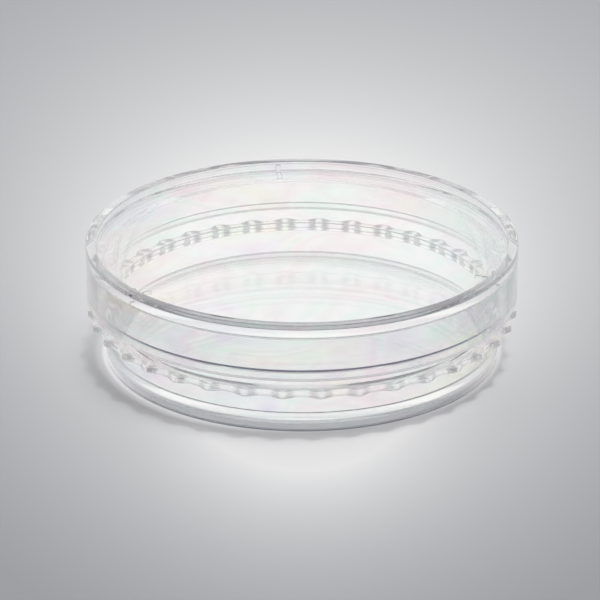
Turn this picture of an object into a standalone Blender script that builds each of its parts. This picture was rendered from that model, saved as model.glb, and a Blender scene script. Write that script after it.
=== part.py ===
"""A 35 mm cell culture dish of clear polystyrene, with its lid on.

It is two mouldings. The dish is a round tray on a low foot, with a scalloped grip ring around
its wall. The lid is a flat plate with a skirt outside the dish's wall, a rim on top that keeps
a stack together, and three vent ribs underneath that hold it off the dish's edge so that gas
passes. Above each rib a small nub inside the rim centres the next dish.

Lengths are in metres and +Z is up. The origin is the centre of the plane that the foot stands on.
"""

import math

import bmesh
import bpy
from mathutils import Matrix

MM = 0.001

# Dish
DISH_INSIDE_DIAMETER = 34.8 * MM
DISH_WALL = 1.0 * MM
DISH_HEIGHT = 9.1 * MM
WALL_DRAFT = 0.08 * MM
FLOOR_THICKNESS = 0.9 * MM
FLOOR_CORNER_RADIUS = 0.4 * MM
FOOT_HEIGHT = 0.5 * MM
FOOT_WIDTH = 0.9 * MM
DISH_EDGE_RADIUS = 0.2 * MM

# Grip ring
RING_UNDERSIDE_HEIGHT = 3.85 * MM
RING_THICKNESS = 0.7 * MM
RING_REACH = 1.05 * MM
NUB_REACH = 0.5 * MM
NUB_COUNT = 36
NUB_SHARPNESS = 2.0
RING_EDGE_BEVEL = 0.12 * MM

# Lid
LID_CLEARANCE = 0.65 * MM
SKIRT_WALL = 0.95 * MM
SKIRT_TO_RING_GAP = 1.1 * MM
PLATE_THICKNESS = 0.7 * MM
PLATE_CORNER_RADIUS = 0.2 * MM
STACKING_CLEARANCE = 0.65 * MM
STACKING_RIM_HEIGHT = 0.7 * MM
LEAD_IN_HEIGHT = 0.6 * MM
LEAD_IN_DEPTH = 0.2 * MM
LID_EDGE_RADIUS = 0.12 * MM
RIM_OUTER_RADIUS = 0.15 * MM

# Vent ribs under the plate, with stacking nubs above it at the same angles
VENT_RIB_COUNT = 3
VENT_RIB_FIRST_ANGLE = math.radians(97.0)
VENT_RIB_WIDTH = 0.45 * MM
VENT_RIB_HEIGHT = 0.25 * MM
VENT_RIB_CLEARANCE = 0.35 * MM
VENT_RIB_OVERLAP = 0.2 * MM
STACKING_NUB_REACH = 0.3 * MM
STACKING_NUB_DROP = 0.2 * MM
SEAT_GAP = 0.3 * MM

# Fineness of the round surfaces
TURNED_STEPS = 108
CORNER_STEPS = 3
EDGE_STEPS = 2
POINTS_PER_NUB = 10
WELD_DISTANCE = 0.001 * MM

# Radii and heights that follow from the sizes above
DISH_INSIDE_RADIUS = DISH_INSIDE_DIAMETER / 2
DISH_OUTSIDE_RADIUS = DISH_INSIDE_RADIUS + DISH_WALL
FLOOR_TOP = FOOT_HEIGHT + FLOOR_THICKNESS
RING_TOP = RING_UNDERSIDE_HEIGHT + RING_THICKNESS
RING_MIDDLE = RING_UNDERSIDE_HEIGHT + RING_THICKNESS / 2
RING_RADIUS = DISH_OUTSIDE_RADIUS + RING_REACH
LID_INSIDE_RADIUS = DISH_OUTSIDE_RADIUS + LID_CLEARANCE
LID_OUTSIDE_RADIUS = LID_INSIDE_RADIUS + SKIRT_WALL
STACKING_RIM_INSIDE_RADIUS = DISH_OUTSIDE_RADIUS + STACKING_CLEARANCE
SKIRT_BOTTOM = RING_TOP + SKIRT_TO_RING_GAP
PLATE_UNDERSIDE = DISH_HEIGHT + SEAT_GAP + VENT_RIB_HEIGHT
PLATE_TOP = PLATE_UNDERSIDE + PLATE_THICKNESS
LID_TOP = PLATE_TOP + STACKING_RIM_HEIGHT

# Clear polystyrene
POLYSTYRENE_COLOUR = (0.93, 0.95, 0.96, 1.0)
POLYSTYRENE_ROUGHNESS = 0.03
POLYSTYRENE_METALLIC = 0.0
POLYSTYRENE_IOR = 1.59


def clear_scene():
    """Remove every object, so that the file holds only this part."""
    for thing in list(bpy.data.objects):
        bpy.data.objects.remove(thing, do_unlink=True)


def new_collection(name):
    """Return a new collection in the scene."""
    collection = bpy.data.collections.new(name)
    bpy.context.scene.collection.children.link(collection)
    return collection


def polystyrene(name):
    """Return the clear, glossy material of one moulding."""
    material = bpy.data.materials.new(name)
    material.use_nodes = True
    shader = material.node_tree.nodes["Principled BSDF"]
    shader.inputs["Base Color"].default_value = POLYSTYRENE_COLOUR
    shader.inputs["Roughness"].default_value = POLYSTYRENE_ROUGHNESS
    shader.inputs["Metallic"].default_value = POLYSTYRENE_METALLIC
    shader.inputs["IOR"].default_value = POLYSTYRENE_IOR
    shader.inputs["Transmission Weight"].default_value = 1.0
    return material


def arc(centre, radius, start, end, steps):
    """Return points along an arc in the radius and height plane, with angles in degrees."""
    points = []
    for step in range(steps + 1):
        angle = math.radians(start + (end - start) * step / steps)
        points.append((centre[0] + radius * math.cos(angle), centre[1] + radius * math.sin(angle)))
    return points


def dish_profile():
    """Return the dish's section: floor, inside, rim, outside, foot and underside."""
    inside_at_rim = DISH_INSIDE_RADIUS + WALL_DRAFT
    outside_at_rim = DISH_OUTSIDE_RADIUS - WALL_DRAFT
    outside_at_foot = DISH_OUTSIDE_RADIUS - WALL_DRAFT
    foot_inside = outside_at_foot - FOOT_WIDTH
    edge = DISH_EDGE_RADIUS
    corner = FLOOR_CORNER_RADIUS
    points = [(0.0, FLOOR_TOP)]
    points += arc((DISH_INSIDE_RADIUS - corner, FLOOR_TOP + corner), corner, -90, 0, CORNER_STEPS)
    points += arc((inside_at_rim + edge, DISH_HEIGHT - edge), edge, 180, 90, EDGE_STEPS)
    points += arc((outside_at_rim - edge, DISH_HEIGHT - edge), edge, 90, 0, EDGE_STEPS)
    points.append((DISH_OUTSIDE_RADIUS, RING_MIDDLE))
    points += arc((outside_at_foot - edge, edge), edge, 0, -90, EDGE_STEPS)
    points.append((foot_inside, 0.0))
    points.append((foot_inside - edge, FOOT_HEIGHT))
    points.append((0.0, FOOT_HEIGHT))
    return points


def lid_profile():
    """Return the lid's section: plate, stacking rim, skirt, lead-in and underside."""
    edge = LID_EDGE_RADIUS
    corner = PLATE_CORNER_RADIUS
    rim_inside = STACKING_RIM_INSIDE_RADIUS
    lead_in_radius = LID_INSIDE_RADIUS + LEAD_IN_DEPTH
    lead_in_top = SKIRT_BOTTOM + LEAD_IN_HEIGHT
    points = [(0.0, PLATE_TOP)]
    points += arc((rim_inside - edge, PLATE_TOP + edge), edge, -90, 0, EDGE_STEPS)
    points += arc((rim_inside + edge, LID_TOP - edge), edge, 180, 90, EDGE_STEPS)
    shoulder = (LID_OUTSIDE_RADIUS - RIM_OUTER_RADIUS, LID_TOP - RIM_OUTER_RADIUS)
    points += arc(shoulder, RIM_OUTER_RADIUS, 90, 0, CORNER_STEPS)
    points += arc((LID_OUTSIDE_RADIUS - edge, SKIRT_BOTTOM + edge), edge, 0, -90, EDGE_STEPS)
    points.append((lead_in_radius, SKIRT_BOTTOM))
    points.append((lead_in_radius, lead_in_top))
    points.append((LID_INSIDE_RADIUS, lead_in_top + LEAD_IN_DEPTH))
    points += arc((LID_INSIDE_RADIUS - corner, PLATE_UNDERSIDE - corner), corner, 0, 90, CORNER_STEPS)
    points.append((0.0, PLATE_UNDERSIDE))
    return points


def turned(name, points, collection):
    """Turn a section about the Z axis into a solid."""
    mesh = bpy.data.meshes.new(name)
    vertices = [(radius, 0.0, height) for radius, height in points]
    edges = [(index, index + 1) for index in range(len(points) - 1)]
    mesh.from_pydata(vertices, edges, [])
    solid = bpy.data.objects.new(name, mesh)
    collection.objects.link(solid)
    screw = solid.modifiers.new("Turn", "SCREW")
    screw.axis = "Z"
    screw.angle = math.tau
    screw.steps = TURNED_STEPS
    screw.render_steps = TURNED_STEPS
    screw.use_merge_vertices = True
    screw.merge_threshold = WELD_DISTANCE
    return solid


def closed_spline(curve, points):
    """Add a closed outline of straight runs between points to a flat curve."""
    spline = curve.splines.new("POLY")
    spline.points.add(len(points) - 1)
    for target, (x, y) in zip(spline.points, points):
        target.co = (x, y, 0.0, 1.0)
    spline.use_cyclic_u = True


def extruded(name, outlines, thickness, edge, collection):
    """Return a solid mesh object of flat outlines with cut edges, centred on its own XY plane."""
    curve = bpy.data.curves.new(name, "CURVE")
    curve.dimensions = "2D"
    curve.fill_mode = "BOTH"
    curve.extrude = thickness / 2 - edge
    curve.bevel_depth = edge
    curve.bevel_resolution = 0
    curve.offset = -edge
    for outline in outlines:
        closed_spline(curve, outline)
    outline_object = bpy.data.objects.new(name + "_outline", curve)
    collection.objects.link(outline_object)
    graph = bpy.context.evaluated_depsgraph_get()
    mesh = bpy.data.meshes.new_from_object(outline_object.evaluated_get(graph))
    bpy.data.objects.remove(outline_object, do_unlink=True)
    cleaned = bmesh.new()
    cleaned.from_mesh(mesh)
    bmesh.ops.remove_doubles(cleaned, verts=cleaned.verts, dist=WELD_DISTANCE)
    bmesh.ops.recalc_face_normals(cleaned, faces=cleaned.faces)
    cleaned.to_mesh(mesh)
    cleaned.free()
    solid = bpy.data.objects.new(name, mesh)
    collection.objects.link(solid)
    return solid


def nub_height(angle):
    """Return how far the grip ring's edge swells at an angle, from 0 in a hollow to 1 on a nub."""
    swell = 0.5 - 0.5 * math.cos(NUB_COUNT * angle)
    return swell ** NUB_SHARPNESS


def scalloped_outline():
    """Return the grip ring's outer edge seen from above, with a hollow on each main axis."""
    count = NUB_COUNT * POINTS_PER_NUB
    points = []
    for index in range(count):
        angle = math.tau * index / count
        radius = RING_RADIUS + NUB_REACH * nub_height(angle)
        points.append((radius * math.cos(angle), radius * math.sin(angle)))
    return points


def circle_outline(radius, count):
    """Return a circle of evenly spaced points."""
    points = []
    for index in range(count):
        angle = math.tau * index / count
        points.append((radius * math.cos(angle), radius * math.sin(angle)))
    return points


def make_grip_ring(collection):
    """Make the grip ring, whose inner edge lies inside the dish's wall."""
    wall_middle = DISH_INSIDE_RADIUS + DISH_WALL / 2
    outlines = [scalloped_outline(), circle_outline(wall_middle, TURNED_STEPS)]
    ring = extruded("grip_ring_form", outlines, RING_THICKNESS, RING_EDGE_BEVEL, collection)
    ring.location.z = RING_MIDDLE
    return ring


def vent_rib_outline():
    """Return one vent rib and the stacking nub above it, seen from the side.

    The rib spans the dish's edge under the plate, the nub stands on the rim's inner wall, and the
    plate's own thickness joins them.
    """
    bar_inside = DISH_INSIDE_RADIUS - VENT_RIB_CLEARANCE
    bar_outside = DISH_OUTSIDE_RADIUS + VENT_RIB_CLEARANCE
    bar_bottom = PLATE_UNDERSIDE - VENT_RIB_HEIGHT
    nub_inside = STACKING_RIM_INSIDE_RADIUS - STACKING_NUB_REACH
    nub_outside = STACKING_RIM_INSIDE_RADIUS + VENT_RIB_OVERLAP
    nub_top = LID_TOP - STACKING_NUB_DROP
    core_bottom = PLATE_UNDERSIDE + VENT_RIB_OVERLAP
    core_top = PLATE_TOP - VENT_RIB_OVERLAP
    return [
        (bar_inside, core_top),
        (bar_inside, bar_bottom),
        (bar_outside, bar_bottom),
        (bar_outside, core_bottom),
        (nub_outside, core_bottom),
        (nub_outside, nub_top),
        (nub_inside, nub_top),
        (nub_inside, core_top),
    ]


def make_vent_ribs(collection):
    """Make the vent ribs with their stacking nubs, evenly spaced around the lid."""
    upright = Matrix.Rotation(math.pi / 2, 4, "X")
    ribs = []
    for index in range(VENT_RIB_COUNT):
        name = f"vent_rib_form_{index + 1}"
        rib = extruded(name, [vent_rib_outline()], VENT_RIB_WIDTH, 0.0, collection)
        angle = VENT_RIB_FIRST_ANGLE + math.tau * index / VENT_RIB_COUNT
        rib.matrix_world = Matrix.Rotation(angle, 4, "Z") @ upright
        ribs.append(rib)
    return ribs


def add_to(solid, forms):
    """Fuse forms to a solid, and keep the forms as wire guides."""
    for form in forms:
        union = solid.modifiers.new("Add " + form.name, "BOOLEAN")
        union.operation = "UNION"
        union.solver = "EXACT"
        union.object = form
        form.display_type = "WIRE"
        form.hide_render = True


def shade(solid):
    """Shade the round surfaces smooth, with flat faces kept flat by their area."""
    solid.modifiers["Turn"].use_smooth_shade = True
    normals = solid.modifiers.new("Shading", "WEIGHTED_NORMAL")
    normals.mode = "FACE_AREA"


def make_dish(parts, forms):
    """Make the dish with its grip ring."""
    dish = turned("dish", dish_profile(), parts)
    add_to(dish, [make_grip_ring(forms)])
    dish.data.materials.append(polystyrene("dish_polystyrene"))
    shade(dish)
    return dish


def make_lid(parts, forms):
    """Make the lid with its stacking rim, skirt and vent ribs."""
    lid = turned("lid", lid_profile(), parts)
    add_to(lid, make_vent_ribs(forms))
    lid.data.materials.append(polystyrene("lid_polystyrene"))
    shade(lid)
    return lid


def main():
    """Build the dish and its lid."""
    clear_scene()
    parts = new_collection("cell_culture_dish")
    forms = new_collection("forms")
    make_dish(parts, forms)
    make_lid(parts, forms)


main()
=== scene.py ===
"""A 35 mm cell culture dish of clear polystyrene, with its lid on, on a pale studio floor.

The script is laid out as an add-on: the sizes and finishes are properties, each moulding and the
stage has an operator, and a panel in the 3D view's sidebar lists them. Lengths are in metres. The
camera stands on the side of -Y, so the back of the dish is its side towards +Y.
"""

import math
from typing import NamedTuple

import bmesh
import bpy
from mathutils import Matrix, Vector


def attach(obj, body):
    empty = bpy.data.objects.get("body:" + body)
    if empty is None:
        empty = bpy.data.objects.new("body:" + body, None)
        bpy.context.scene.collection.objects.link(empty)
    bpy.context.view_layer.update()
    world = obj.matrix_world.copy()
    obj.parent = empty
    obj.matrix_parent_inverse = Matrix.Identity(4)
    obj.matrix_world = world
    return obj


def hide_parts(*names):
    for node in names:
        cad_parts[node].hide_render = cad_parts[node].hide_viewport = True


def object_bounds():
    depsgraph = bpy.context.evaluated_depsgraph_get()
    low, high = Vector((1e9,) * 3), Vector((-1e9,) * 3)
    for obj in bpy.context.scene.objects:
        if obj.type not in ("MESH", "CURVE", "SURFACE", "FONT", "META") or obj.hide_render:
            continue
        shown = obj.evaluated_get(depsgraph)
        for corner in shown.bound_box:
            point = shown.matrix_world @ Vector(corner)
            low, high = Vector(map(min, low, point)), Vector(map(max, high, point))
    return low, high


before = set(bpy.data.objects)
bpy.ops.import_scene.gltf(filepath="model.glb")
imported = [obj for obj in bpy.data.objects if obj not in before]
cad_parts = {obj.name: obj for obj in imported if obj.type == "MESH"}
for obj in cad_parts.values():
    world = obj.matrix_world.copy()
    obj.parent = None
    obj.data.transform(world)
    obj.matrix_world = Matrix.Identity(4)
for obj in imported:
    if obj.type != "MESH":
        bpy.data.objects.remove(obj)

bl_info = {
    "name": "Cell Culture Dish",
    "version": (1, 0, 0),
    "blender": (4, 5, 0),
    "location": "3D View > Sidebar > Dish",
    "description": "A clear plastic dish with a grip ring and a loose lid",
    "category": "Object",
}

MM = 0.001
CAD_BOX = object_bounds()
BLACK = (0.0, 0.0, 0.0)
WHITE = (1.0, 1.0, 1.0)

# Light travels along inside the plate and the walls, and needs this many bounces to come out again.
LIGHT_BOUNCES = 96

# Steps round the axis and round a fillet. The dish's are a multiple of its nubs.
DISH_STEPS = 720
LID_STEPS = 480
FILLET_STEPS = 6

# Points of a rib nearer than this are one, and a turn sharper than this stays an edge on the lid.
SAME_POINT = 0.001 * MM
SHARP_ANGLE = math.radians(20.0)

# The painted shade on the plastic's edges and nubs, and the wall's shadow, differ at the front and
# at the back. The back's begins at this sine of the angle round the axis, which is -1 in front,
# and is full after this span.
BACK_START = -0.6
BACK_SPAN = 0.7

# The painted shade of the edges fades towards the two sides, where the sine is 0, down to a
# least share.
SIDE_RISE = 1.6
SIDE_OFFSET = -0.1
SIDE_LEAST = 0.25

# A painted dark edge ends at this multiple of its half size, and this is how steeply it ends.
EDGE_REACH = 1.2
EDGE_STEEPNESS = 5.0

# The painted shade on the flanks lies between a nub's top, at 1, and the hollow beside it, at 0.
PAINTED_FLANK_STOPS = [(0.20, BLACK), (0.55, WHITE), (0.85, WHITE), (1.0, BLACK)]

# Where the painted shade on the flanks of the front nubs starts and stops fading, and then that of
# the back nubs, from the front at 0 to the back at 1.
PAINTED_NUB_FADES = (0.15, 0.32, 0.60, 0.72)

# The least share of a wall's shadow that an upright face throws, and the shares that the shadow
# loses past the outer radius and at the back.
UPRIGHT_LEAST = 0.2
OUTER_LOSS = 0.35
BACK_LOSS = 0.7

# How far past a wall its radius for the shadow lies, to be clear of its own face.
WALL_MARGIN = 0.1 * MM

# Colours of the surroundings in an arch from the back's horizon at 0 to the front's at 1.
ARCH_STOPS = [
    (0.0, (0.60, 0.60, 0.61)),
    (0.08, (1.0, 1.0, 0.99)),
    (0.30, (1.0, 1.0, 0.99)),
    (0.38, (0.60, 0.60, 0.61)),
    (0.50, (0.55, 0.55, 0.57)),
    (0.60, (0.45, 0.45, 0.47)),
    (0.72, (0.45, 0.45, 0.48)),
]

# The two sides of the surroundings take over the arch from one sine to the other.
SIDES_STOPS = [(0.55, BLACK), (0.85, WHITE)]
SIDES_COLOUR = (0.80, 0.80, 0.81)

# The warm soft box in front: its place in the arch, its half sizes, its soft border and its colour.
BOX_PLACE = 0.775
BOX_HALF_HEIGHT = 0.055
BOX_HALF_WIDTH = 0.32
BOX_STOPS = [(0.0, BLACK), (0.15, WHITE)]
BOX_COLOUR = (1.0, 0.95, 0.82)


def length(name, description, millimetres):
    """Return a property for a length, with its default in millimetres."""
    return bpy.props.FloatProperty(
        name=name,
        description=description,
        default=millimetres * MM,
        min=0.0,
        precision=5,
        unit="LENGTH",
    )


def amount(name, description, default, high=1.0):
    """Return a property for a share or a strength."""
    return bpy.props.FloatProperty(
        name=name, description=description, default=default, min=0.0, max=high
    )


def degrees(name, description, default):
    """Return a property for an angle, with its default in degrees."""
    return bpy.props.FloatProperty(
        name=name, description=description, default=math.radians(default), subtype="ANGLE"
    )


def number(name, description, default):
    """Return a property for a number of like parts."""
    return bpy.props.IntProperty(name=name, description=description, default=default, min=1)


def location(name, description, default):
    """Return a property for a point in space."""
    return bpy.props.FloatVectorProperty(
        name=name,
        description=description,
        default=default,
        size=3,
        precision=5,
        unit="LENGTH",
        subtype="XYZ",
    )


def colour(name, description, default):
    """Return a property for a colour."""
    return bpy.props.FloatVectorProperty(
        name=name,
        description=description,
        default=default,
        size=3,
        min=0.0,
        max=1.0,
        subtype="COLOR",
    )


class DishSizes(bpy.types.PropertyGroup):
    """Sizes of the dish."""

    inside_diameter: length("Inside diameter", "Width of the flat floor between the walls", 34.8)
    wall: length("Wall", "Thickness of the wall", 1.0)
    height: length("Height", "Height of the dish's edge above the table", 9.1)
    draft: length("Draft", "How far the wall leans over its height", 0.08)
    floor: length("Floor", "Thickness of the floor", 0.9)
    floor_corner: length("Floor corner", "Fillet between the floor and the wall", 0.4)
    foot: length("Foot", "Height of the foot under the floor", 0.5)
    foot_width: length("Foot width", "Width of the foot ring", 0.9)
    edge: length("Edge", "Fillet of the upper and lower edges", 0.1)


class RingSizes(bpy.types.PropertyGroup):
    """Sizes of the scalloped grip ring."""

    underside: length("Underside", "Height of the ring's underside", 3.85)
    thickness: length("Thickness", "Thickness of the ring", 0.7)
    reach: length("Reach", "How far the hollows stand out from the wall", 1.05)
    nub_reach: length("Nub reach", "How far the nubs stand out from the hollows", 0.5)
    nub_count: number("Nubs", "Nubs around the ring", 36)
    nub_sharpness: amount("Nub sharpness", "Higher makes narrower nubs", 2.0, 8.0)
    edge: length("Edge", "Fillet of the ring's outer edges", 0.14)
    root: length("Root", "Fillet between the ring and the wall", 0.05)


class LidSizes(bpy.types.PropertyGroup):
    """Sizes of the lid."""

    clearance: length("Clearance", "Gap between the skirt and the dish's wall", 0.65)
    skirt: length("Skirt", "Thickness of the skirt", 0.95)
    ring_gap: length("Gap to the ring", "Height of the skirt's edge above the grip ring", 1.1)
    seat: length("Seat", "Height of the plate above the dish's edge", 0.55)
    plate: length("Plate", "Thickness of the plate", 0.7)
    plate_corner: length("Plate corner", "Fillet between the plate and the skirt", 0.18)
    rim: length("Rim", "Height of the stacking rim above the plate", 0.7)
    rim_clearance: length("Rim clearance", "Gap between the rim and the next dish's foot", 0.65)
    lead_in_height: length("Lead-in height", "Height of the wider part of the skirt", 0.6)
    lead_in: length("Lead-in", "Depth of the wider part inside the skirt's edge", 0.2)
    edge: length("Edge", "Fillet of the rim and the skirt's edge", 0.12)
    shoulder: length("Shoulder", "Fillet of the rim's outer edge", 0.06)


class RibSizes(bpy.types.PropertyGroup):
    """Sizes of the vent ribs under the plate and the stacking nubs above them."""

    count: number("Ribs", "Ribs around the lid", 3)
    first: degrees("First rib", "Angle of the first rib", 97.0)
    width: length("Width", "Width of a rib", 0.45)
    height: length("Height", "Depth of a rib under the plate", 0.25)
    nub_reach: length("Nub reach", "How far a stacking nub stands out from the rim", 0.3)
    nub_drop: length("Nub drop", "How far a stacking nub stays below the rim's top", 0.2)
    clearance: length("Clearance", "How far a rib reaches past both sides of the dish's edge", 0.35)
    root: length("Root", "How deep a rib is set into the lid", 0.2)
    bevel: length("Bevel", "Cut edge of a rib", 0.05)


class Finish(bpy.types.PropertyGroup):
    """Finish of the clear polystyrene, with the colour of its painted shade."""

    clear: colour("Clear", "Colour of the plastic where it has no tint", (1.0, 1.0, 0.995))
    rose: colour("Rose", "Warm tint of stress in the plastic", (0.985, 0.91, 0.932))
    mint: colour("Mint", "Green tint of stress in the plastic", (0.918, 0.985, 0.955))
    lilac: colour("Lilac", "Violet tint of stress in the plastic", (0.932, 0.922, 0.985))
    straw: colour("Straw", "Yellow tint of stress in the plastic", (0.985, 0.972, 0.885))
    # The edge colour is painted shade: the thick edges and the nubs' flanks are darkened towards
    # it.
    edge: colour("Edge", "Colour where one looks along a thick edge", (0.045, 0.045, 0.08))
    shadow: colour("Shadow", "Light that a flat surface lets through", (0.985, 0.985, 0.988))
    dish_shadow: colour("Dish shadow", "Light that the wall lets through", (0.25, 0.25, 0.27))
    lid_shadow: colour("Lid shadow", "Light that the skirt lets through", (0.85, 0.855, 0.86))
    roughness: amount("Roughness", "Roughness of the polished surface", 0.015)
    wear: amount("Wear", "Extra roughness of handling marks", 0.03)
    refraction: amount("Refraction", "Index of refraction", 1.59, 3.0)
    waviness: length("Waviness", "Height of the faint waves in the moulded surface", 0.001)


class Stage(bpy.types.PropertyGroup):
    """Floor, lamp and camera."""

    floor_size: length("Floor size", "Width of the floor", 1600.0)
    # Painted light: the floor's colour is palest in a pool round the dish and under it, and darkens
    # outwards to the second colour. The paler radius and the pool and middle properties below set
    # it.
    floor_colour: colour("Floor colour", "Colour of the floor round the dish", (0.90, 0.90, 0.895))
    painted_falloff_colour: colour("Edge colour", "Colour to which the floor darkens", (0.0, 0.012, 0.04))
    floor_roughness: amount("Floor roughness", "Roughness of the floor", 0.55)
    painted_light_radius: length("Paler radius", "Radius of the paler spot under the dish", 19.5)
    pool: length("Pool", "Half width of the palest part of the floor", 13.75)
    pool_shift: length("Pool shift", "How far the palest part is shifted to the front", 10.0)
    pool_stretch: amount("Pool stretch", "Share by which depth counts in the fall", 0.523)
    pool_spread: amount("Pool spread", "How the palest part widens to the back, a metre", 2.6, 9.0)
    pool_lean: amount("Pool lean", "How much slower the colour falls to the back", 0.275)
    pool_most: amount("Pool most", "Most of the floor's colour", 0.92)
    pool_least: amount("Pool least", "Least of the floor's colour", 0.3)
    middle_most: amount("Middle most", "Most of the floor's colour beside the axis", 0.93)
    front_fall: amount("Front fall", "How fast that most falls to the front, a metre", 2.2, 9.0)
    lamp_place: location("Lamp place", "Place of the lamp", (0.105, 0.030, 0.62))
    lamp_size: length("Lamp size", "Width of the lamp", 70.0)
    lamp_power: bpy.props.FloatProperty(
        name="Lamp power", description="Power of the lamp", default=1.8, min=0.0, unit="POWER"
    )
    aim: location("Aim", "Point that the camera looks at", (-0.00018, 0.0, 0.00478))
    distance: length("Distance", "Distance from the camera to the dish", 350.0)
    elevation: degrees("Elevation", "Angle of the camera above the table", 24.4)
    lens: bpy.props.FloatProperty(
        name="Lens", description="Focal length on the sensor, in millimetres", default=224.2
    )
    sensor: bpy.props.FloatProperty(
        name="Sensor", description="Width of the sensor, in millimetres", default=36.0
    )


class Formula:
    """A value in a node tree, on which Python's operators add Math nodes."""

    def __init__(self, tree, socket):
        self.tree = tree
        self.socket = socket

    def maths(self, operation, *values):
        """Add one Math node and return its result."""
        sockets = [value.socket if isinstance(value, Formula) else value for value in values]
        node = self.tree.node("ShaderNodeMath", {"operation": operation}, dict(enumerate(sockets)))
        return Formula(self.tree, node.outputs[0])

    def __add__(self, other):
        return self.maths("ADD", self, other)

    def __radd__(self, other):
        return self.maths("ADD", other, self)

    def __sub__(self, other):
        return self.maths("SUBTRACT", self, other)

    def __rsub__(self, other):
        return self.maths("SUBTRACT", other, self)

    def __mul__(self, other):
        return self.maths("MULTIPLY", self, other)

    def __rmul__(self, other):
        return self.maths("MULTIPLY", other, self)

    def __truediv__(self, other):
        return self.maths("DIVIDE", self, other)

    def __rtruediv__(self, other):
        return self.maths("DIVIDE", other, self)

    def __pow__(self, other):
        return self.maths("POWER", self, other)

    def __abs__(self):
        return self.maths("ABSOLUTE", self)

    def __gt__(self, other):
        return self.maths("GREATER_THAN", self, other)

    def __lt__(self, other):
        return self.maths("LESS_THAN", self, other)

    def cosine(self):
        return self.maths("COSINE", self)

    def angle_from(self, other):
        return self.maths("ARCTAN2", self, other)

    def at_least(self, other):
        return self.maths("MAXIMUM", self, other)

    def at_most(self, other):
        return self.maths("MINIMUM", self, other)

    def as_share(self):
        """Return the value kept between 0 and 1."""
        return self.at_least(0.0).at_most(1.0)


class Tree:
    """A node tree, the one method that adds its nodes, and short ways to call it."""

    def __init__(self, nodes_owner):
        self.owner = nodes_owner

    def node(self, kind, settings=None, sockets=None):
        """Add a node with its settings, and then the values or links of its sockets."""
        node = self.owner.nodes.new(kind)
        for name, value in (settings or {}).items():
            if name == "stops":
                self.set_stops(node.color_ramp, value)
            else:
                setattr(node, name, value)
        for key, value in (sockets or {}).items():
            socket = node.inputs[key]
            if isinstance(value, Formula):
                value = value.socket
            if isinstance(value, bpy.types.NodeSocket):
                self.owner.links.new(value, socket)
            elif socket.type == "RGBA":
                socket.default_value = (*value, 1.0)
            else:
                socket.default_value = value
        return node

    def set_stops(self, ramp, stops):
        """Give a colour ramp its stops, each a place and a colour."""
        while len(ramp.elements) < len(stops):
            ramp.elements.new(1.0)
        for element, (place, shade) in zip(ramp.elements, stops):
            element.position = place
            element.color = (*shade, 1.0)

    def formula(self, socket):
        """Wrap a socket for Python's operators."""
        return Formula(self, socket)

    def split(self, vector):
        """Return the x, y and z of a vector."""
        parts = self.node("ShaderNodeSeparateXYZ", {}, {0: vector})
        return [self.formula(output) for output in parts.outputs]

    def noise(self, place, **sockets):
        """Return the value of a noise with the given sockets."""
        return self.node("ShaderNodeTexNoise", {}, {"Vector": place, **sockets}).outputs["Fac"]

    def ramp(self, value, stops):
        """Return the colour that a ramp gives a value."""
        return self.node("ShaderNodeValToRGB", {"stops": stops}, {"Fac": value}).outputs["Color"]

    def blend(self, share, first, second):
        """Return the first colour with a share of the second."""
        sockets = {"Factor": share, "A": first, "B": second}
        return self.node("ShaderNodeMix", {"data_type": "RGBA"}, sockets).outputs["Result"]

    def choose(self, share, first, second):
        """Return the first shader with a share of the second."""
        sockets = {0: share, 1: first.outputs[0], 2: second.outputs[0]}
        return self.node("ShaderNodeMixShader", {}, sockets)


class Spot(NamedTuple):
    """Where a surface is in its object's own coordinates, as values in a material's tree."""

    place: bpy.types.NodeSocket
    x: Formula
    y: Formula
    z: Formula
    radius: Formula
    facing: Formula
    to_back: Formula


class PaintedShadeEdge(NamedTuple):
    """An edge with painted shade: its place, half size, and the shade's depth at front and back."""

    radius: float
    height: float
    half_width: float
    half_height: float
    front: float
    back: float


class PaintedShadeNubs(NamedTuple):
    """Nubs with painted shade on the flanks, on the ring's outer side and at the back on its top
    too.

    The side and the top begin at a radius each, and the top lies between two heights.
    """

    count: int
    side_radius: float
    top_radius: float
    top_low: float
    top_high: float
    front: float
    back: float


class WallShadow(NamedTuple):
    """The shadow of a wall: the radii between which it is full, and the light let through."""

    inner: float
    outer: float
    colour: tuple


def fresh_material(name):
    """Return a new material and its empty tree."""
    material = bpy.data.materials.new(name)
    material.use_nodes = True
    material.node_tree.nodes.clear()
    return material, Tree(material.node_tree)


def spot_in(tree):
    """Return the spot for a material's tree."""
    place = tree.node("ShaderNodeTexCoord").outputs["Object"]
    x, y, z = tree.split(place)
    radius = (x * x + y * y) ** 0.5
    facing = y / radius
    to_back = ((facing - BACK_START) / BACK_SPAN).as_share()
    return Spot(place, x, y, z, radius, facing, to_back)


def stress_tint(tree, spot, finish, pattern_height):
    """Return the plastic's colour, with faint patches of stress in it."""
    lowered = tree.node(
        "ShaderNodeMapping",
        {},
        {"Vector": spot.place, "Location": (0.0, 0.0, pattern_height), "Scale": (1.0, 1.0, 2.2)},
    )
    flow = tree.noise(lowered.outputs[0], Scale=95.0, Detail=1.5, Roughness=0.45, Distortion=0.8)
    tints = [
        (0.30, finish.lilac),
        (0.40, finish.clear),
        (0.46, finish.mint),
        (0.52, finish.clear),
        (0.58, finish.rose),
        (0.64, finish.clear),
        (0.72, finish.straw),
    ]
    return tree.ramp(flow, tints)


def painted_edge_shade(spot, edges):
    """Return the painted shade of the thick edges, from 0 to 1."""
    aside = (abs(spot.facing) * SIDE_RISE + SIDE_OFFSET).at_least(SIDE_LEAST).at_most(1.0)
    shade = 0.0
    for edge in edges:
        across = abs(spot.radius - edge.radius) / edge.half_width
        upward = abs(spot.z - edge.height) / edge.half_height
        near = ((EDGE_REACH - across.at_least(upward)) * EDGE_STEEPNESS).as_share()
        depth = (spot.to_back * (edge.back - edge.front) + edge.front) * aside
        shade = (near * depth).at_least(shade)
    return shade


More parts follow.
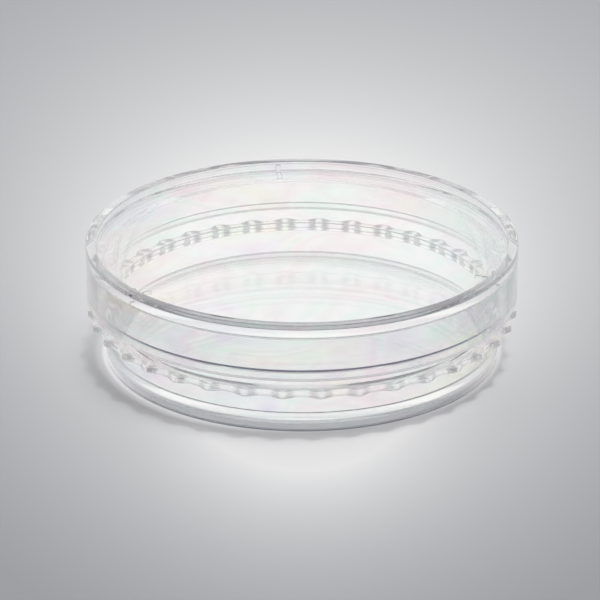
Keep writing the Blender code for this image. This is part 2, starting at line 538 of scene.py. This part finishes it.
def painted_nub_shade(tree, spot, nubs):
    """Return the painted shade on the flanks of the nubs, from 0 to 1."""
    swell = 0.5 - 0.5 * (spot.y.angle_from(spot.x) * nubs.count).cosine()
    flanks = tree.formula(tree.ramp(swell, PAINTED_FLANK_STOPS))
    depths = (nubs.front, 0.0, 0.0, nubs.back)
    stops = [(place, (depth,) * 3) for place, depth in zip(PAINTED_NUB_FADES, depths)]
    depth = tree.ramp(spot.facing * 0.5 + 0.5, stops)
    on_top = (spot.radius > nubs.top_radius) * (spot.z > nubs.top_low)
    on_top = on_top * (spot.z < nubs.top_high) * spot.to_back
    return on_top.at_least(spot.radius > nubs.side_radius) * (flanks * depth)


def light_pass(tree, spot, finish, shadow):
    """Return the shader that lets the lamp's and the floor's light through the plastic."""
    flat = tree.node("ShaderNodeBsdfTransparent", {}, {"Color": finish.shadow})
    wall = tree.node("ShaderNodeBsdfTransparent", {}, {"Color": shadow.colour})
    level = tree.split(tree.node("ShaderNodeNewGeometry").outputs["Normal"])[2]
    share = (spot.radius > shadow.inner) * abs(level).at_least(UPRIGHT_LEAST)
    share = share * (1.0 - OUTER_LOSS * (spot.radius > shadow.outer))
    return tree.choose(share * (1.0 - BACK_LOSS * spot.to_back), flat, wall)


def polystyrene(name, finish, pattern_height, shadow, edges, nubs=None):
    """Return clear polystyrene with faint stress tints, handling marks and moulding waves.

    Such plastic shows dark lines where one looks along a thick edge, and on the nubs' flanks. Here
    they are painted shade, part of the colour, placed by radius, height and side in the piece's own
    coordinates.
    """
    material, tree = fresh_material(name)
    spot = spot_in(tree)
    # Painted shade along the thick edges and on the nubs' flanks.
    shade = painted_edge_shade(spot, edges)
    if nubs:
        shade = shade.at_least(painted_nub_shade(tree, spot, nubs))
    tint = stress_tint(tree, spot, finish, pattern_height)
    marks = tree.noise(spot.place, Scale=900.0, Detail=4.0, Roughness=0.7, Distortion=2.0)
    waves = tree.noise(spot.place, Scale=230.0, Detail=1.0, Roughness=0.4)
    bump = tree.node(
        "ShaderNodeBump", {}, {"Strength": 1.0, "Distance": finish.waviness, "Height": waves}
    )
    plastic = tree.node(
        "ShaderNodeBsdfPrincipled",
        {},
        {
            # The painted shade darkens the plastic's colour towards the edge colour.
            "Base Color": tree.blend(shade, tint, finish.edge),
            "Roughness": finish.roughness + tree.formula(marks) ** 6 * finish.wear,
            "IOR": finish.refraction,
            "Transmission Weight": 1.0,
            "Normal": bump.outputs["Normal"],
        },
    )
    path = tree.node("ShaderNodeLightPath")
    from_lamp = tree.formula(path.outputs["Is Shadow Ray"])
    from_floor = tree.formula(path.outputs["Is Diffuse Ray"])
    passing = light_pass(tree, spot, finish, shadow)
    surface = tree.choose(from_lamp.at_least(from_floor), plastic, passing)
    tree.node("ShaderNodeOutputMaterial", {}, {"Surface": surface.outputs[0]})
    return material


def filleted(corners):
    """Return a section's points, with each corner rounded by an arc that touches both its sides.

    A corner is a radius, a height, a fillet and a mark, and each point keeps its corner's mark.
    """
    points = []
    for index, (radius, height, fillet, mark) in enumerate(corners):
        here = Vector((radius, height))
        if fillet == 0.0:
            points.append((radius, height, mark))
            continue
        back = (Vector(corners[index - 1][:2]) - here).normalized()
        ahead = (Vector(corners[index + 1][:2]) - here).normalized()
        half = back.angle(ahead) / 2
        centre = here + (back + ahead).normalized() * (fillet / math.sin(half))
        start = here + back * (fillet / math.tan(half)) - centre
        end = here + ahead * (fillet / math.tan(half)) - centre
        first = math.atan2(start.y, start.x)
        turn = (math.atan2(end.y, end.x) - first + math.pi) % math.tau - math.pi
        for step in range(FILLET_STEPS + 1):
            angle = first + turn * step / FILLET_STEPS
            point = centre + Vector((math.cos(angle), math.sin(angle))) * fillet
            points.append((point.x, point.y, mark))
    return points


def turned(name, section, steps, material):
    """Turn a section, which starts and ends on the axis, into a closed mesh object."""
    inner = section[1:-1]
    vertices = [(0.0, 0.0, section[0][1]), (0.0, 0.0, section[-1][1])]
    marks = [0.0, 0.0]
    for step in range(steps):
        angle = math.tau * step / steps
        across, along = math.cos(angle), math.sin(angle)
        for radius, height, mark in inner:
            vertices.append((radius * across, radius * along, height))
            marks.append(mark)
    count = len(inner)
    faces = []
    for step in range(steps):
        this = 2 + step * count
        following = 2 + (step + 1) % steps * count
        faces.append((0, this, following))
        for row in range(count - 1):
            faces.append((this + row, this + row + 1, following + row + 1, following + row))
        faces.append((this + count - 1, 1, following + count - 1))
    mesh = bpy.data.meshes.new(name)
    mesh.from_pydata(vertices, [], faces)
    face_out(mesh)
    mark_values = mesh.attributes.new("ring_edge", "FLOAT", "POINT")
    mark_values.data.foreach_set("value", marks)
    mesh.materials.append(material)
    return placed(name, mesh)


def placed(name, data):
    """Return a new object in the scene for a mesh, a curve, a lamp or a camera."""
    thing = bpy.data.objects.new(name, data)
    bpy.context.scene.collection.objects.link(thing)
    return thing


def face_out(mesh):
    """Make a closed mesh's faces point outwards and shade them smooth."""
    cleaned = bmesh.new()
    cleaned.from_mesh(mesh)
    bmesh.ops.recalc_face_normals(cleaned, faces=cleaned.faces)
    cleaned.to_mesh(mesh)
    cleaned.free()
    mesh.shade_smooth()


def geometry_tree(name, sockets):
    """Return a new geometry tree with a geometry input and output and the named inputs."""
    group = bpy.data.node_groups.new(name, "GeometryNodeTree")
    group.interface.new_socket("Geometry", in_out="OUTPUT", socket_type="NodeSocketGeometry")
    group.interface.new_socket("Geometry", in_out="INPUT", socket_type="NodeSocketGeometry")
    for label, kind in sockets:
        group.interface.new_socket(label, in_out="INPUT", socket_type=kind)
    return group, Tree(group)


def scallop_tree():
    """Return the geometry tree that swells the marked edge of a turned ring into even nubs."""
    sockets = [
        ("Nub Count", "NodeSocketInt"),
        ("Nub Reach", "NodeSocketFloat"),
        ("Nub Sharpness", "NodeSocketFloat"),
        ("Material", "NodeSocketMaterial"),
    ]
    group, tree = geometry_tree("scalloped_ring", sockets)
    given = tree.node("NodeGroupInput").outputs
    position = tree.node("GeometryNodeInputPosition").outputs[0]
    x, y, _ = tree.split(position)
    swell = 0.5 - 0.5 * (y.angle_from(x) * given["Nub Count"]).cosine()
    edge = tree.node(
        "GeometryNodeInputNamedAttribute", {"data_type": "FLOAT"}, {"Name": "ring_edge"}
    )
    sharpness = tree.formula(given["Nub Sharpness"])
    reach = swell ** sharpness * given["Nub Reach"] * edge.outputs[0]
    level = tree.node(
        "ShaderNodeVectorMath", {"operation": "MULTIPLY"}, {0: position, 1: (1.0, 1.0, 0.0)}
    )
    outward = tree.node(
        "ShaderNodeVectorMath", {"operation": "NORMALIZE"}, {0: level.outputs[0]}
    )
    offset = tree.node(
        "ShaderNodeVectorMath", {"operation": "SCALE"}, {0: outward.outputs[0], "Scale": reach}
    )
    moved = tree.node(
        "GeometryNodeSetPosition",
        {},
        {"Geometry": given["Geometry"], "Offset": offset.outputs[0]},
    )
    return finished_tree(group, tree, moved.outputs[0], given["Material"])


def rib_tree():
    """Return the geometry tree that sets copies of a rib evenly around the axis."""
    sockets = [
        ("Rib Count", "NodeSocketInt"),
        ("First Angle", "NodeSocketFloat"),
        ("Material", "NodeSocketMaterial"),
    ]
    group, tree = geometry_tree("ribs_around", sockets)
    given = tree.node("NodeGroupInput").outputs
    points = tree.node("GeometryNodePoints", {}, {"Count": given["Rib Count"]})
    index = tree.formula(tree.node("GeometryNodeInputIndex").outputs[0])
    angle = index * math.tau / given["Rib Count"] + given["First Angle"]
    turn = tree.node("ShaderNodeCombineXYZ", {}, {"Z": angle})
    ribs = tree.node(
        "GeometryNodeInstanceOnPoints",
        {},
        {"Points": points.outputs[0], "Instance": given["Geometry"], "Rotation": turn.outputs[0]},
    )
    return finished_tree(group, tree, ribs.outputs[0], given["Material"])


def finished_tree(group, tree, geometry, material):
    """End a geometry tree with real geometry and its material."""
    real = tree.node("GeometryNodeRealizeInstances", {}, {0: geometry})
    painted = tree.node(
        "GeometryNodeSetMaterial", {}, {"Geometry": real.outputs[0], "Material": material}
    )
    tree.node("NodeGroupOutput", {}, {0: painted.outputs[0]})
    return group


def with_nodes(solid, group, values):
    """Run a geometry tree on an object with its named inputs, and keep the result as its mesh."""
    modifier = solid.modifiers.new(group.name, "NODES")
    modifier.node_group = group
    for item in group.interface.items_tree:
        if item.in_out == "INPUT" and item.name in values:
            modifier[item.identifier] = values[item.name]
    keep_evaluated(solid)


def keep_evaluated(solid):
    """Replace an object's mesh with its evaluated mesh, and remove its modifiers."""
    graph = bpy.context.evaluated_depsgraph_get()
    mesh = bpy.data.meshes.new_from_object(solid.evaluated_get(graph))
    solid.modifiers.clear()
    old = solid.data
    solid.data = mesh
    mesh.name = solid.name
    bpy.data.meshes.remove(old)


def level_shading(solid):
    """Weigh the shading by area, so that flat faces look flat beside their fillets."""
    normals = solid.modifiers.new("Shading", "WEIGHTED_NORMAL")
    normals.mode = "FACE_AREA"
    normals.keep_sharp = True
    keep_evaluated(solid)


def take_place(solid, node):
    """Let a finished moulding stand for its CAD node."""
    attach(solid, "root")
    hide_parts(node)


def dish_section(dish, ring):
    """Return the dish's section, with the grip ring's outer edge marked."""
    inside = dish.inside_diameter / 2
    outside = inside + dish.wall
    floor_top = dish.foot + dish.floor
    foot_outside = outside - dish.draft
    foot_inside = foot_outside - dish.foot_width
    ring_top = ring.underside + ring.thickness
    ring_edge = outside + ring.reach
    return filleted(
        [
            (0.0, floor_top, 0.0, 0.0),
            (inside, floor_top, dish.floor_corner, 0.0),
            (inside + dish.draft, dish.height, dish.edge, 0.0),
            (outside - dish.draft, dish.height, dish.edge, 0.0),
            (outside, ring_top, ring.root, 0.0),
            (ring_edge, ring_top, ring.edge, 1.0),
            (ring_edge, ring.underside, ring.edge, 1.0),
            (outside, ring.underside, ring.root, 0.0),
            (foot_outside, 0.0, dish.edge, 0.0),
            (foot_inside, 0.0, dish.edge / 2, 0.0),
            (foot_inside - dish.edge, dish.foot, dish.edge, 0.0),
            (0.0, dish.foot, 0.0, 0.0),
        ]
    )


def lid_section(dish, ring, lid):
    """Return the lid's section."""
    wall = dish.inside_diameter / 2 + dish.wall
    inside = wall + lid.clearance
    outside = inside + lid.skirt
    rim_inside = wall + lid.rim_clearance
    skirt_bottom = ring.underside + ring.thickness + lid.ring_gap
    plate_underside = dish.height + lid.seat
    plate_top = plate_underside + lid.plate
    lead_in_top = skirt_bottom + lid.lead_in_height
    return filleted(
        [
            (0.0, plate_top, 0.0, 0.0),
            (rim_inside, plate_top, lid.edge, 0.0),
            (rim_inside, plate_top + lid.rim, lid.edge, 0.0),
            (outside, plate_top + lid.rim, lid.shoulder, 0.0),
            (outside, skirt_bottom, lid.edge, 0.0),
            (inside + lid.lead_in, skirt_bottom, lid.edge / 2, 0.0),
            (inside + lid.lead_in, lead_in_top, lid.edge / 4, 0.0),
            (inside, lead_in_top + lid.lead_in, lid.edge / 4, 0.0),
            (inside, plate_underside, lid.plate_corner, 0.0),
            (0.0, plate_underside, 0.0, 0.0),
        ]
    )


def painted_shade_edge(radius, height, width, tall, front, back):
    """Return an edge with painted shade, with its half sizes in millimetres."""
    return PaintedShadeEdge(radius, height, width * MM, tall * MM, front, back)


def dish_painted_shade_edges(dish, ring):
    """Return the edges of the dish that get painted shade."""
    inside = dish.inside_diameter / 2
    outside = inside + dish.wall
    foot_outside = outside - dish.draft
    floor_top = dish.foot + dish.floor
    return [
        painted_shade_edge(inside, floor_top + dish.floor_corner, 0.04, 0.09, 0.0, 0.75),
        painted_shade_edge(inside - dish.floor_corner, floor_top, 0.12, 0.04, 0.0, 0.25),
        painted_shade_edge(outside, ring.underside + ring.thickness, 0.16, 0.12, 0.1, 0.85),
        # These two paint the shade of the floor's shadow, seen through the foot.
        painted_shade_edge(foot_outside, dish.foot, 0.25, 0.6, 0.7, 0.0),
        painted_shade_edge(foot_outside, 0.0, 0.2, 0.12, 1.0, 0.0),
    ]


def dish_painted_shade_nubs(dish, ring):
    """Return the nubs of the grip ring, for the painted shade on their flanks."""
    outside = dish.inside_diameter / 2 + dish.wall
    top = ring.underside + ring.thickness
    return PaintedShadeNubs(
        count=ring.nub_count,
        side_radius=outside + 0.9 * MM,
        top_radius=outside + 0.3 * MM,
        top_low=top - 0.12 * MM,
        top_high=top + 0.88 * MM,
        front=0.4,
        back=0.8,
    )


def lid_painted_shade_edges(dish, ring, lid):
    """Return the edges of the lid that get painted shade."""
    inside = dish.inside_diameter / 2 + dish.wall + lid.clearance
    outside = inside + lid.skirt
    skirt_bottom = ring.underside + ring.thickness + lid.ring_gap
    lead_in_end = skirt_bottom + lid.lead_in_height + lid.lead_in
    plate_underside = dish.height + lid.seat
    top = plate_underside + lid.plate + lid.rim
    return [
        # Painted shade on the rim's top, for the shaded floor seen down the skirt.
        painted_shade_edge(outside - 0.4 * MM, top, 0.42, 0.40, 0.7, 0.45),
        painted_shade_edge(inside, plate_underside, 0.10, 0.10, 0.5, 0.1),
        painted_shade_edge(inside, lead_in_end, 0.10, 0.08, 1.0, 0.9),
        painted_shade_edge(outside, skirt_bottom, 0.10, 0.10, 0.6, 0.45),
        painted_shade_edge(inside + lid.lead_in, skirt_bottom, 0.10, 0.10, 0.3, 0.4),
    ]


def rib_outline(dish, lid, rib):
    """Return the side view of a vent rib and the stacking nub above it, one closed line."""
    wall_inside = dish.inside_diameter / 2
    wall_outside = wall_inside + dish.wall
    rim_inside = wall_outside + lid.rim_clearance
    underside = dish.height + lid.seat
    core_bottom = underside + rib.root
    core_top = underside + lid.plate - rib.root
    nub_top = underside + lid.plate + lid.rim - rib.nub_drop
    return [
        (wall_inside - rib.clearance, core_top),
        (wall_inside - rib.clearance, underside - rib.height),
        (wall_outside + rib.clearance, underside - rib.height),
        (wall_outside + rib.clearance, core_bottom),
        (rim_inside + rib.root, core_bottom),
        (rim_inside + rib.root, nub_top),
        (rim_inside - rib.nub_reach, nub_top),
        (rim_inside - rib.nub_reach, core_top),
    ]


def make_rib(outline, rib):
    """Make one rib from its side view, bevelled and standing on +X."""
    curve = bpy.data.curves.new("vent_rib", "CURVE")
    curve.dimensions = "2D"
    curve.fill_mode = "BOTH"
    curve.extrude = rib.width / 2 - rib.bevel
    curve.bevel_depth = rib.bevel
    curve.bevel_resolution = 2
    curve.offset = -rib.bevel
    spline = curve.splines.new("POLY")
    spline.points.add(len(outline) - 1)
    for point, (x, y) in zip(spline.points, outline):
        point.co = (x, y, 0.0, 1.0)
    spline.use_cyclic_u = True
    flat = placed("vent_rib_outline", curve)
    graph = bpy.context.evaluated_depsgraph_get()
    mesh = bpy.data.meshes.new_from_object(flat.evaluated_get(graph))
    bpy.data.objects.remove(flat, do_unlink=True)
    cleaned = bmesh.new()
    cleaned.from_mesh(mesh)
    bmesh.ops.remove_doubles(cleaned, verts=cleaned.verts, dist=SAME_POINT)
    cleaned.to_mesh(mesh)
    cleaned.free()
    mesh.transform(Matrix.Rotation(math.pi / 2, 4, "X"))
    face_out(mesh)
    return placed("vent_ribs", mesh)


class DISH_OT_make_dish(bpy.types.Operator):
    """Make the dish with its scalloped grip ring"""

    bl_idname = "culture_dish.make_dish"
    bl_label = "Make Dish"

    def execute(self, context):
        dish, ring = context.scene.dish_sizes, context.scene.ring_sizes
        finish = context.scene.dish_finish
        inside = dish.inside_diameter / 2
        shadow = WallShadow(inside, inside + dish.wall + WALL_MARGIN, finish.dish_shadow)
        edges, nubs = dish_painted_shade_edges(dish, ring), dish_painted_shade_nubs(dish, ring)
        material = polystyrene("dish_polystyrene", finish, 0.0, shadow, edges, nubs)
        solid = turned("dish_moulding", dish_section(dish, ring), DISH_STEPS, material)
        values = {
            "Nub Count": ring.nub_count,
            "Nub Reach": ring.nub_reach,
            "Nub Sharpness": ring.nub_sharpness,
            "Material": material,
        }
        with_nodes(solid, scallop_tree(), values)
        level_shading(solid)
        take_place(solid, "dish")
        return {"FINISHED"}


class DISH_OT_make_lid(bpy.types.Operator):
    """Make the lid with its stacking rim, skirt and vent ribs"""

    bl_idname = "culture_dish.make_lid"
    bl_label = "Make Lid"

    def execute(self, context):
        dish, ring = context.scene.dish_sizes, context.scene.ring_sizes
        lid, rib = context.scene.lid_sizes, context.scene.rib_sizes
        finish = context.scene.dish_finish
        outer = CAD_BOX[1].x + WALL_MARGIN
        shadow = WallShadow(dish.inside_diameter / 2, outer, finish.lid_shadow)
        edges = lid_painted_shade_edges(dish, ring, lid)
        material = polystyrene("lid_polystyrene", finish, 20.0 * MM, shadow, edges)
        solid = turned("lid_moulding", lid_section(dish, ring, lid), LID_STEPS, material)
        ribs = make_rib(rib_outline(dish, lid, rib), rib)
        values = {"Rib Count": rib.count, "First Angle": rib.first, "Material": material}
        with_nodes(ribs, rib_tree(), values)
        union = solid.modifiers.new("Ribs", "BOOLEAN")
        union.operation = "UNION"
        union.solver = "EXACT"
        union.object = ribs
        keep_evaluated(solid)
        bpy.data.objects.remove(ribs, do_unlink=True)
        solid.data.set_sharp_from_angle(angle=SHARP_ANGLE)
        level_shading(solid)
        take_place(solid, "lid")
        return {"FINISHED"}


class DISH_OT_make_stage(bpy.types.Operator):
    """Make the floor, the lamp, the surroundings and the camera"""

    bl_idname = "culture_dish.make_stage"
    bl_label = "Make Stage"

    def execute(self, context):
        stage = context.scene.dish_stage
        make_floor(stage)
        make_lamp(stage)
        make_surroundings()
        make_camera(stage)
        context.scene.view_settings.view_transform = "Standard"
        paths = context.scene.cycles
        paths.max_bounces = LIGHT_BOUNCES
        paths.glossy_bounces = LIGHT_BOUNCES
        paths.transmission_bounces = LIGHT_BOUNCES
        paths.transparent_max_bounces = LIGHT_BOUNCES
        return {"FINISHED"}


def floor_painted_light(tree, stage):
    """Return the floor's colour: a painted pool of light round the dish that opens to the back."""
    place = tree.node("ShaderNodeTexCoord").outputs["Object"]
    x, y, _ = tree.split(place)
    along = (y + stage.pool_shift) * stage.pool_stretch
    across = x * (1.0 - stage.pool_spread * y)
    spread = (across * across + along * along) ** 0.5 - y * stage.pool_lean
    share = (stage.pool / spread).at_most(stage.middle_most + stage.front_fall * y)
    share = share.at_most(stage.pool_most).at_least(stage.pool_least)
    # Painted light: the floor under the dish gets the full floor colour.
    under = (stage.painted_light_radius - (x * x + y * y) ** 0.5) / MM
    share = share.at_least(under).at_most(1.0)
    return tree.blend(share, stage.painted_falloff_colour, stage.floor_colour)


def make_floor(stage):
    """Make the pale floor, with its painted pool of light."""
    material, tree = fresh_material("floor_with_painted_light")
    surface = tree.node(
        "ShaderNodeBsdfPrincipled",
        {},
        {"Base Color": floor_painted_light(tree, stage), "Roughness": stage.floor_roughness},
    )
    tree.node("ShaderNodeOutputMaterial", {}, {"Surface": surface.outputs[0]})
    mesh = bpy.data.meshes.new("floor")
    grid = bmesh.new()
    bmesh.ops.create_grid(grid, x_segments=8, y_segments=8, size=stage.floor_size / 2)
    grid.to_mesh(mesh)
    grid.free()
    mesh.materials.append(material)
    placed("floor", mesh)


def make_lamp(stage):
    """Make the soft lamp above the dish, which the plastic doesn't mirror."""
    light = bpy.data.lights.new("key", "AREA")
    light.shape = "SQUARE"
    light.size = stage.lamp_size
    light.energy = stage.lamp_power
    lamp = placed("key", light)
    lamp.location = stage.lamp_place
    lamp.rotation_euler = (-stage.lamp_place).to_track_quat("-Z", "Y").to_euler()
    lamp.visible_glossy = False
    lamp.visible_transmission = False


def make_surroundings():
    """Make the surroundings: an arch of light from back to front, pale sides and a soft box."""
    world = bpy.data.worlds.new("studio")
    bpy.context.scene.world = world
    world.use_nodes = True
    world.node_tree.nodes.clear()
    tree = Tree(world.node_tree)
    x, y, z = tree.split(tree.node("ShaderNodeTexCoord").outputs["Generated"])
    over = z.angle_from(y) * (1 / math.pi)
    arch = tree.ramp(over, ARCH_STOPS)
    with_sides = tree.blend(tree.ramp(abs(x), SIDES_STOPS), arch, SIDES_COLOUR)
    apart = (abs(x) / BOX_HALF_WIDTH).at_least(abs(over - BOX_PLACE) / BOX_HALF_HEIGHT)
    with_box = tree.blend(tree.ramp(1.0 - apart, BOX_STOPS), with_sides, BOX_COLOUR)
    light = tree.node("ShaderNodeBackground", {}, {"Color": with_box, "Strength": 1.0})
    tree.node("ShaderNodeOutputWorld", {}, {"Surface": light.outputs[0]})


def make_camera(stage):
    """Make the camera at the photograph's angle."""
    camera_data = bpy.data.cameras.new("camera")
    camera_data.sensor_width = stage.sensor
    camera_data.lens = stage.lens
    camera_data.clip_start = 10.0 * MM
    camera = placed("camera", camera_data)
    camera.location = (
        0.0,
        -stage.distance * math.cos(stage.elevation),
        stage.distance * math.sin(stage.elevation),
    )
    camera.rotation_euler = (stage.aim - camera.location).to_track_quat("-Z", "Y").to_euler()
    bpy.context.scene.camera = camera


class DISH_PT_panel(bpy.types.Panel):
    """Lists the sizes, the finish and the operators of the dish"""

    bl_idname = "DISH_PT_panel"
    bl_label = "Cell Culture Dish"
    bl_space_type = "VIEW_3D"
    bl_region_type = "UI"
    bl_category = "Dish"

    def draw(self, context):
        for group in SETTINGS:
            box = self.layout.box()
            settings = getattr(context.scene, group)
            for name in settings.bl_rna.properties.keys():
                if name not in ("rna_type", "name"):
                    box.prop(settings, name)
        for maker in MAKERS:
            self.layout.operator(maker.bl_idname)


SETTINGS = {
    "dish_sizes": DishSizes,
    "ring_sizes": RingSizes,
    "lid_sizes": LidSizes,
    "rib_sizes": RibSizes,
    "dish_finish": Finish,
    "dish_stage": Stage,
}
MAKERS = (DISH_OT_make_dish, DISH_OT_make_lid, DISH_OT_make_stage)


def register():
    """Register the classes and hang the settings on the scene."""
    for name, group in SETTINGS.items():
        bpy.utils.register_class(group)
        setattr(bpy.types.Scene, name, bpy.props.PointerProperty(type=group))
    for maker in MAKERS:
        bpy.utils.register_class(maker)
    bpy.utils.register_class(DISH_PT_panel)


def unregister():
    """Remove the classes and the settings."""
    bpy.utils.unregister_class(DISH_PT_panel)
    for maker in reversed(MAKERS):
        bpy.utils.unregister_class(maker)
    for name, group in reversed(SETTINGS.items()):
        delattr(bpy.types.Scene, name)
        bpy.utils.unregister_class(group)


def main():
    """Make everything."""
    register()
    bpy.ops.culture_dish.make_dish()
    bpy.ops.culture_dish.make_lid()
    bpy.ops.culture_dish.make_stage()


if __name__ == "__main__":
    main()
